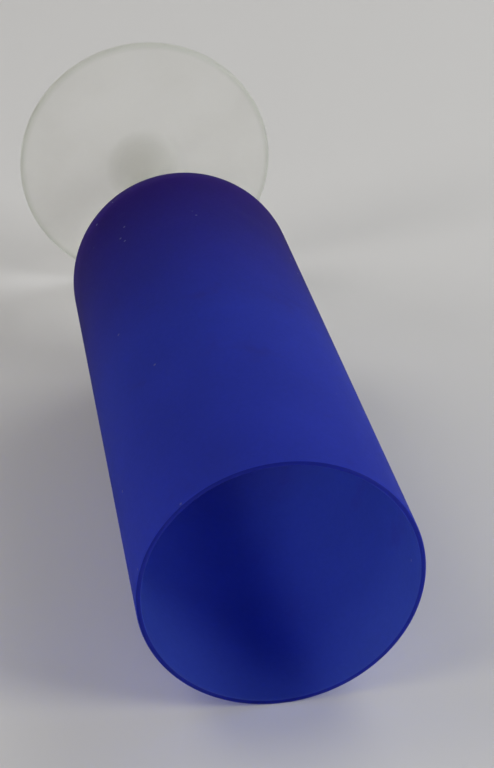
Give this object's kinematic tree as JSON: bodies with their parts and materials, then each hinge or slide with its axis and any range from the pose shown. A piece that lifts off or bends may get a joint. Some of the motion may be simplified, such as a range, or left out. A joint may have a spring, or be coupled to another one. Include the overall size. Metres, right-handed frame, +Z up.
{
  "type": "stemmed glass",
  "caption": "Tall straight-sided stemmed drinking glass: a frosted blue tubular bowl with a rounded bottom, on a slender frosted clear stem and a wide round foot.",
  "frame": {"origin": "centre of the foot's resting ring, on the surface that the glass stands on", "axes": "+Z up the glass's axis of revolution, from the foot to the open mouth; X and Y are alike"},
  "size_m": [0.0708, 0.0708, 0.209],
  "materials": {
    "blue_frosted_glass": "satin acid-etched cobalt glass, translucent, even inside and out",
    "clear_frosted_glass": "satin acid-etched clear glass with a faint grey-green tint at its edges"
  },
  "bodies": {
    "root": {"bowl": "blue_frosted_glass", "stem": "clear_frosted_glass", "foot": "clear_frosted_glass"}
  },
  "joints": []
}
